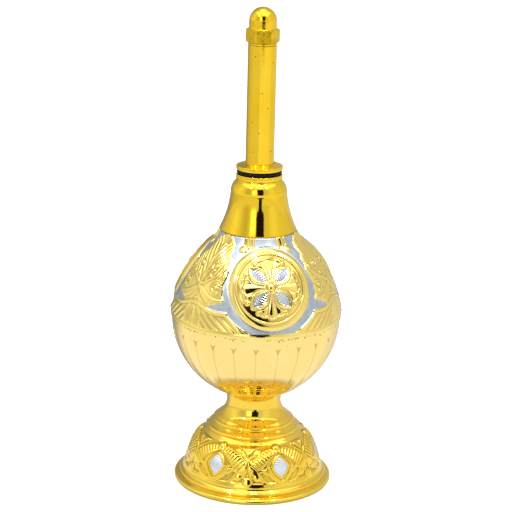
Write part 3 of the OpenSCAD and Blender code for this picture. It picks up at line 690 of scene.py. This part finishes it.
def medallionRelief(rho, ang):
    # on the disc: a fine ring at its edge, and a flower of four framed petals between four fans
    quarter = (ang + np.pi / 4) % (np.pi / 2) - np.pi / 4
    across, along = rho * np.sin(quarter), rho * np.cos(quarter)
    ribs = np.abs(np.cos(quarter * np.pi / math.radians(22)))
    scallop = 12.0 + 0.7 * ribs - 1.3 * (np.abs(quarter) / math.radians(38)) ** 2
    f = highest(smooth(0.0, 0.6, scallop - rho) * smooth(1.8, 2.8, rho) * (0.05 + 0.34 * ribs),
                0.5 * roll(rho - scallop - 0.65, 0.5) * (np.abs(quarter) < math.radians(36)),
                # beads between the fans and the petals
                *(bead(along, across, place, 1.0, 0.6) for place in arcPath((0, 0), 12.6, -30, 30, 2)))
    # petals with a double frame, silvered and hatched inside
    diagonal = ang % (np.pi / 2) - np.pi / 4
    px, py = rho * np.cos(diagonal), np.abs(rho * np.sin(diagonal))
    start, end, width = medallion["petal"]
    s = np.clip((px - start) / (end - start), 0, 1)
    w = width * np.maximum(np.sin(np.pi * s ** 1.05), 0) ** 0.8
    petal = np.where((px > start) & (px < end), (w - py) * 0.9, -1.0)
    f = highest(np.where(petal > -0.35, 0.0, f), 0.55 * roll(petal - 0.5, 0.5),
                0.45 * roll(petal - 1.25, 0.32) * (petal > 0.9))
    inlay = smooth(1.4, 1.65, petal)
    hatch = 0.07 * np.cos(2 * np.pi * (px * 0.9 + py * 0.35))
    f = f * (1 - inlay) + (0.25 + hatch) * inlay
    f = highest(f, 1.2 * roll(rho, 2.0) ** 0.9, 0.55 * roll(rho - 2.6, 0.45))  # middle bead in a collar
    f = np.maximum(f * smooth(14.7, 14.2, rho), 0.6 * roll(rho - 15.3, 0.5))
    return f, np.where(petal > -0.5, petal - 1.5, -1.0)


def offSeat(up, k):  # how far out and how high a point lies, up the medallion's plane and k off it
    return (seatRadius - up * math.sin(lean) + k * math.cos(lean),
            medallion["height"] + up * math.cos(lean) + k * math.sin(lean))


def shellDepth(x, up):  # how far the shell lies along the medallion's axis, from the plane on its middle
    low, high = np.full(x.shape, -16.0), np.full(x.shape, 4.0)
    for _ in range(40):
        k = (low + high) / 2
        out, z = offSeat(up, k)
        bulge = shell["centre"][0] + np.sqrt(np.maximum(shell["radius"] ** 2 - (z - shell["centre"][1]) ** 2, 0))
        outside = np.hypot(x, out) > bulge
        low, high = np.where(outside, low, k), np.where(outside, k, high)
    return k


def makeMedallion():
    size, disc, dome = medallion["size"], medallion["disc"], medallion["dome"]
    ang = np.linspace(0, 2 * np.pi, medallion["columns"], endpoint=False)[None, :]
    t = np.linspace(0, 1, medallion["flankRows"])[:-1, None]
    flank, face = size + (disc - size) * t, np.linspace(disc, 0.05, medallion["rows"])[:, None]
    under = np.array([[0.05], [6.0], [12.0], [size]])
    rho = np.concatenate([under, flank, face]) + 0 * ang
    x, up = rho * np.cos(ang) * medallion["wide"] / size, rho * np.sin(ang) * medallion["tall"] / size
    seat = shellDepth(x, up)
    relief, silver = medallionRelief(rho, ang + 0 * rho)
    k = medallion["lift"] - dome + np.sqrt(dome ** 2 - rho ** 2) + relief
    k += medallion["boss"] * smooth(13.5, 2.0, rho)
    first, last = len(under), len(under) + len(flank)
    k[:first] = seat[:first] - 0.35
    edge = medallion["lift"] - dome + math.sqrt(dome ** 2 - disc ** 2)
    k[first:last] = seat[first] - 0.1 + (edge - seat[first] + 0.1) * np.sin(t * np.pi / 2) ** 0.85
    out, z = offSeat(up, k)
    grid = np.stack([x, -out, z], -1)
    silver[:last] = -1.0
    # the cavity attribute carries the painted shade in the hollows of the relief
    cavity = np.concatenate([np.zeros((last, ang.shape[1])), hollowness(relief[last:])])
    return gridMesh("medallion", grid, attributes={"silver": np.clip(silver, -1, 1), "cavity": cavity})


ringed("medallions", makeMedallion(), shell["sectors"], medallion["turn"],
       medalTone, "vessel", "two_tone_plate", sharp=70)


# neck: spun cone with a faint bead, rounded over to the mouth

neckOutline = np.concatenate([
    [[16.28, 116.33], [16.85, 116.33]], arcPath(neck["cone"], neck["coneRadius"], 206.6, 184.1, 32),
    [[12.35, 133.38], [12.39, 133.55], [12.39, 133.68], [12.35, 133.85], [12.27, 134.0]],
    arcPath(neck["shoulder"], neck["shoulderRadius"], 10, 49.1, 18),
    [[10.1, 138.1], [10.1, 138.4], [10.02, 138.5], [9.35, 138.5], [9.35, 138.0]],
    arcPath(neck["shoulder"], neck["shoulderRadius"] - neck["wall"], 46, 10, 6),
    arcPath(neck["cone"], neck["coneRadius"] + neck["wall"], 184.5, 206.9, 16)])
turned("spunNeck", neckOutline, neck["columns"], goldSpun, "vessel", ["neck"])


# mouth of the neck: bush with a grained lip, and the seal ring

grain = {"ridges": 120, "width": 0.36, "proud": 0.05, "sunk": 0.05, "ends": 0.12, "back": 0.3}


def addGrain(name, radius, low, high, body):  # upright ridges round a turned edge
    half, ease = grain["width"] / radius / 2, np.array([0.0, 1.0, 1.0, 0.0])
    r = radius - grain["sunk"] + (grain["proud"] + grain["sunk"]) * np.outer(ease, ease)
    heights = np.array([low, low + grain["ends"], high - grain["ends"], high])
    back = np.tile([radius - grain["back"], (low + high) / 2], (1, 4, 1))
    ridge = np.concatenate([np.stack([r, heights[:, None] + 0 * r], -1), back])
    mesh = gridMesh("ridge", turn(ridge, half * np.array([[-1, -0.45, 0.45, 1]])), False)
    ringed(name, mesh, grain["ridges"], 0.0, goldTurned, body, "gold_plate")


bush = {"lip": 10.1, "low": 138.602, "high": 140.702, "barrel": 9.2, "bottom": 129.0, "bore": 8.02, "fillet": 0.18,
        "columns": 160}
lathed("neckBush", bush, "bore bottom, barrel bottom, barrel low, lip low, lip high, bore high",
       goldTurned, "vessel", ["neck_bush"])
addGrain("bushGrain", bush["lip"], bush["low"] + 0.2, bush["high"] - 0.2, "vessel")

seal = {"ring": 8.95, "height": 141.702, "section": 0.85, "flash": 0.05, "rows": 28, "columns": 128}
around = np.radians(np.linspace(0, 360, seal["rows"], endpoint=False))
bulge = seal["section"] + seal["flash"] * np.exp(-(np.sin(around) / 0.12) ** 2) * (np.cos(around) > 0)
sealOutline = np.stack([seal["ring"] + bulge * np.cos(around), seal["height"] + bulge * np.sin(around)], 1)
turned("sealRing", sealOutline, seal["columns"], nitrile, "seal", ["o_ring"], 60)


# spout: threaded plug with a grained flange, tube, and the nipple at its end

def addThread(name, sizes, start, material, slot):  # a ridge wound round the root, from the height start up
    grown(name, bpy.data.meshes.new("seed"), threads, {
        "Turns": sizes["turns"], "Radius": sizes["root"] * mm, "Length": sizes["turns"] * sizes["pitch"] * mm,
        "Depth": (sizes["crest"] - sizes["root"]) * mm, "Start Height": start * mm},
        material, "spout", slot, sharp=30)


plug = {"root": 7.3, "crest": 7.9, "bottom": 131.1, "flange": 10.1, "under": 142.702, "edge": 144.4, "boss": 7.0,
        "top": 145.502, "bore": 4.6, "socket": 6.25, "floor": 141.0, "pitch": 1.5, "turns": 6.6, "fillet": 0.2,
        "columns": 160}
lathed("spoutPlug", plug, "bore bottom, root bottom, root under, flange under, flange edge, boss top, socket top, "
       "socket floor, bore floor", goldTurned, "spout", ["spout_plug"])
addGrain("flangeGrain", plug["flange"], plug["under"] + 0.15, plug["edge"] - 0.1, "spout")
addThread("plugThread", plug, plug["bottom"] + 0.75, goldTurned, "gold_plate")

tube = {"bore": 5.3, "radius": 6.2, "low": 141.102, "high": 196.702, "fillet": 0.2, "columns": 144}
lathed("spoutTube", tube, "bore low, radius low, radius high, bore high",
       goldTurned, "spout", ["spout_tube"])

nipple = {"barrel": 5.25, "low": 188.702, "step": 196.702, "root": 3.42, "crest": 3.92, "high": 203.702, "bore": 2.0,
          "pitch": 1.25, "turns": 4.8, "fillet": 0.2, "columns": 96}
lathed("nozzleNipple", nipple, "bore low, barrel low, barrel step, root step, root high, bore high",
       bareBrass, "spout", ["nozzle_nipple"])
addThread("nippleThread", nipple, nipple["step"] + 0.6, bareBrass, "plain_brass")

washer = {"bore": 4.1, "radius": 6.2, "low": 196.852, "high": 197.652, "fillet": 0.16, "columns": 128}
lathed("nozzleWasher", washer, "bore low, radius low, radius high, bore high",
       goldTurned, "cap_seal", ["nozzle_washer"])


# cap: chamfered hexagon under a dome, drilled at the tip

cap = {"flats": 13.0, "turn": 5.4, "low": 197.802, "hexTop": 203.702, "chamfer": 0.55, "dome": 5.95,
       "straight": 206.902, "jet": 0.6, "hole": 4.0, "depth": 8.6, "ease": 0.16, "columns": 192}


def makeCap():
    low, hexTop, straight, dome, hole = (cap[key] for key in ("low", "hexTop", "straight", "dome", "hole"))
    angles = np.linspace(0, 2 * np.pi, cap["columns"], endpoint=False)
    flat = (angles - math.radians(cap["turn"]) + np.pi / 6) % (np.pi / 3) - np.pi / 6
    hexRadius = cap["flats"] / 2 / np.cos(flat)
    hexRadius -= cap["ease"] * np.exp(-((np.abs(flat) - np.pi / 6) / 0.045) ** 2)  # corners eased by polishing
    narrow = cap["flats"] / 2 / math.cos(math.pi / 6) - 2 * cap["chamfer"]
    tall = hexTop - low
    levels = np.concatenate([np.linspace(0, 1.1, 9), np.linspace(1.5, tall - 1.5, 6),
                             np.linspace(tall - 1.1, tall, 9)])
    chamfered = narrow + 2 * np.minimum(levels, tall - levels)
    body = np.minimum(hexRadius[None, :], chamfered[:, None])
    over = np.concatenate([
        [[6.12, hexTop + 0.02], [6.0, hexTop + 0.08], [dome, hexTop + 0.25]],
        [[dome, z] for z in np.linspace(hexTop + 0.7, straight, 5)],
        arcPath((0, straight), dome, 4, 83.6, 26), [[cap["jet"], straight + 5.86]]])
    deep = low + cap["depth"]
    within = np.array([[cap["jet"], deep + 0.6], [hole - 0.6, deep], [hole, deep - 0.6], [hole, low + 0.5],
                       [hole + 0.5, low]])
    domeAndHole = np.concatenate([over, within])[:, None, :]
    rows = [np.stack([body, (low + levels)[:, None] + 0 * body], -1), np.repeat(domeAndHole, cap["columns"], 1)]
    mesh = gridMesh("nozzleCap", turn(np.concatenate(rows), angles[None, :]))
    for finish in (goldTurned, goldMilled):
        mesh.materials.append(finish)
    milled = np.arange(len(mesh.polygons)) < (len(levels) - 1) * cap["columns"]
    mesh.polygons.foreach_set("material_index", milled.astype(np.int32))
    return mesh


settle(newObject("nozzleCap", makeCap()), goldTurned, "cap", ["nozzle_cap"], 28)


# burnt flux along the soldered seam of the bulb

seam = {"specks": 190, "radius": 37.3, "height": 76.5, "size": 0.42, "seed": 4}
speck = bpy.data.meshes.new("speck")
speck.from_pydata([(1, 0, 0), (-1, 0, 0), (0, 0, 0.8), (0, 0, -0.8), (0, 0.35, 0), (0, -0.35, 0)], [],
                  [(0, 4, 2), (4, 1, 2), (1, 5, 2), (5, 0, 2), (4, 0, 3), (1, 4, 3), (5, 1, 3), (0, 5, 3)])
grown("seamSpecks", speck, specks, {
    "Count": seam["specks"], "Radius": seam["radius"] * mm, "Height": seam["height"] * mm, "Size": seam["size"] * mm,
    "Seed": seam["seed"]}, flux, "vessel", "gold_plate", sharp=80)


# the screw under the foot keeps its solids, in bare brass

for node in ("bowl_stud", "foot_washer", "foot_nut"):
    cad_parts[node].data.materials.clear()
    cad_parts[node].data.materials.append(bareBrass)
print("pieces ready")


# studio: white paper floor and a light tent with a dark slot for the lens

# slot in degrees: half its width above and below, half its width in the middle, where it faces, its two ends, and
# the heights where it narrows and widens again
tent = {"slot": 13.5, "slotMiddle": 6.0, "slotTurn": 6.5, "slotEnds": (-12.0, 41.0), "narrows": (-4, -2),
        "widens": (9, 12), "lens": (0.012, 0.01, 0.008, 1),
        # paper in metres: its edges, where near turns to far, where the foot shades it, and what lifts it to white
        "tableEdge": -1.33, "tableReach": 3.0, "nearToFar": (0.3, 0.6), "footShade": (0.035, 0.046), "glow": 0.32,
        # brightness on the way round: 0 is behind, then the left, 0.5 the front, then the right and 1 behind again
        "cloth": [(0.0, 0.5), (0.03, 0.34), (0.1, 0.45), (0.16, 0.75), (0.22, 0.93), (0.267, 1.1), (0.311, 0.92),
                  (0.35, 0.7), (0.383, 0.62), (0.417, 0.85), (0.472, 0.9), (0.556, 0.78), (0.594, 0.8), (0.633, 1.0),
                  (0.667, 1.0), (0.708, 0.86), (0.806, 0.8), (0.944, 0.6), (1.0, 0.5)],
        "paper": [(0.0, 0.75), (0.03, 0.36), (0.12, 0.42), (0.2, 0.7), (0.3, 0.84), (0.455, 0.85), (0.48, 1.08),
                  (0.69, 1.02), (0.74, 0.88), (0.86, 0.82), (0.95, 0.65), (1.0, 0.75)],
        "nearPaper": [(0.0, 0.75), (0.03, 0.36), (0.12, 0.42), (0.2, 1.04), (0.8, 1.04), (0.86, 0.82), (0.95, 0.65),
                      (1.0, 0.75)],
        # panels over the cloth: from and to round the object, from and to in height, brightness
        "panels": [(-112, 112, -20, 4, 0.9), (-180, 180, 42, 95, 0.7), (-112, -34, 44, 66, 1.7),
                   (-28, 28, 46, 66, 1.6), (34, 112, 44, 66, 1.6), (-180, 180, 69, 95, 3.0), (-27, -9, 8, 36, 1.9)]}


def wayRound(add, x, y):  # azimuth of a direction, 0 at the front
    front = add("ShaderNodeMath", (y, -1.0), operation="MULTIPLY")
    return add("ShaderNodeMath", (x, front), operation="ARCTAN2")


def lightRound(add, azimuth, stops):
    wall = add("ShaderNodeValToRGB", (add("ShaderNodeMapRange", (azimuth, -math.pi, math.pi)),))
    for position, _ in stops[1:-1]:
        wall.color_ramp.elements.new(position)
    for element, (_, value) in zip(wall.color_ramp.elements, stops):
        element.color = (value, value, value, 1)
    return wall


def window(add, value, low, high, soft):  # 1 between low and high, with soft edges, in degrees
    rising = add("ShaderNodeMapRange", (value, *np.radians((low - soft, low + soft))))
    falling = add("ShaderNodeMapRange", (value, *np.radians((high - soft, high + soft)), 1.0, 0.0))
    return add("ShaderNodeMath", (rising, falling), operation="MULTIPLY")


def makeFloor():
    mesh = bpy.data.meshes.new("paper")
    s, edge = tent["tableReach"], tent["tableEdge"]
    mesh.from_pydata([(-s, edge, 0), (s, edge, 0), (s, s, 0), (-s, s, 0)], [], [(0, 1, 2, 3)])
    material, add, where = startMaterial("mattWhitePaper")
    # fibres in clouds of 2 mm
    fibre = add("ShaderNodeTexNoise", {"Vector": where, "Scale": 1 / 0.002, "Detail": 2.0})
    dim, bright = hexLinear("#F4F4F4"), hexLinear("#FAFAFA")
    white = add("ShaderNodeMix", {"Factor": fibre, "A": dim, "B": bright}, data_type="RGBA")
    path = add("ShaderNodeLightPath").outputs
    # seen straight, the paper keeps the object's shadow and comes up to white
    glow = add("ShaderNodeMapRange", (path["Is Camera Ray"], 0, 1, 0.0, tent["glow"]))
    paper = add("ShaderNodeBsdfPrincipled", {
        "Base Color": white, "Roughness": 0.9, "Emission Color": (1, 1, 1, 1), "Emission Strength": glow})
    # in the metal it is as bright as the tent, and dimmer close to the foot
    spot = add("ShaderNodeSeparateXYZ", (where,)).outputs
    azimuth = wayRound(add, spot["X"], spot["Y"])
    reach = add("ShaderNodeVectorMath", (where,), operation="LENGTH")
    far = add("ShaderNodeMapRange", (reach, *tent["nearToFar"]))
    near, away = (lightRound(add, azimuth, tent[key]) for key in ("nearPaper", "paper"))
    level = add("ShaderNodeMix", {"Factor": far, "A": near, "B": away}, data_type="RGBA")
    shade = add("ShaderNodeMapRange", (reach, *tent["footShade"], 0.5, 1.0))
    shine = add("ShaderNodeEmission", {"Color": level, "Strength": shade})
    both = add("ShaderNodeMixShader", (path["Is Glossy Ray"], paper, shine))
    add("ShaderNodeOutputMaterial", {"Surface": both})
    mesh.materials.append(material)
    newObject("floor", mesh)


def makeTent():
    world = bpy.data.worlds.new("lightTent")
    world.use_nodes = True
    scene.world = world
    world.node_tree.nodes.clear()
    add = partial(addNode, world.node_tree)
    way = add("ShaderNodeSeparateXYZ", (add("ShaderNodeTexCoord").outputs["Generated"],)).outputs
    azimuth = wayRound(add, way["X"], way["Y"])
    height = add("ShaderNodeMath", (way["Z"],), operation="ARCSINE")
    light = lightRound(add, azimuth, tent["cloth"])
    for left, right, low, high, level in tent["panels"]:
        share = add("ShaderNodeMath", (window(add, azimuth, left, right, 3), window(add, height, low, high, 2)),
                    operation="MULTIPLY")
        light = add("ShaderNodeMix", {"Factor": share, "A": light, "B": (level, level, level, 1)}, data_type="RGBA")
    # the slot that the lens looks through, narrower in its middle
    aside = add("ShaderNodeMath", (azimuth, -math.radians(tent["slotTurn"])), operation="ADD")
    off = add("ShaderNodeMath", (aside,), operation="ABSOLUTE")
    wide, middle = math.radians(tent["slot"]), math.radians(tent["slotMiddle"])
    upper = add("ShaderNodeMapRange", (height, *np.radians(tent["widens"]), middle, wide))
    lower = add("ShaderNodeMapRange", (height, *np.radians(tent["narrows"]), wide, 0.0))
    reach = add("ShaderNodeMath", (upper, lower), operation="MAXIMUM")
    within = add("ShaderNodeMath", (reach, off), operation="SUBTRACT")
    across = add("ShaderNodeMapRange", (within, *np.radians((-0.7, 0.7))))
    between = window(add, height, *tent["slotEnds"], 1)
    slot = add("ShaderNodeMath", (across, between), operation="MULTIPLY")
    light = add("ShaderNodeMix", {"Factor": slot, "A": light, "B": tent["lens"]}, data_type="RGBA")
    inTent = add("ShaderNodeBackground", {"Color": light, "Strength": 1.0})
    plain = add("ShaderNodeBackground", {"Color": (1, 1, 1, 1), "Strength": 1.0})
    shown = add("ShaderNodeMixShader", (add("ShaderNodeLightPath").outputs["Is Camera Ray"], inTent, plain))
    add("ShaderNodeOutputWorld", {"Surface": shown})


lamps = {"size": 0.1, "aim": (0, 0, 0.1),
         "places": [("leftLamp", (-0.52, -0.55, 0.95), 2.4), ("rightLamp", (0.45, -0.5, 0.98), 1.8),
                    ("topLamp", (0.04, -0.3, 1.1), 2.0)]}


def addSoftbox(name, place, watts):
    lamp = bpy.data.lights.new(name, "AREA")
    lamp.size, lamp.energy = lamps["size"], watts
    obj = bpy.data.objects.new(name, lamp)
    obj.location = place
    obj.rotation_mode = "QUATERNION"
    obj.rotation_quaternion = (Vector(lamps["aim"]) - Vector(place)).to_track_quat("-Z", "Y")
    obj.visible_camera = False
    scene.collection.objects.link(obj)


makeFloor()
makeTent()
for lampRow in lamps["places"]:
    addSoftbox(*lampRow)
scene.view_settings.view_transform = "Standard"
print("studio ready")
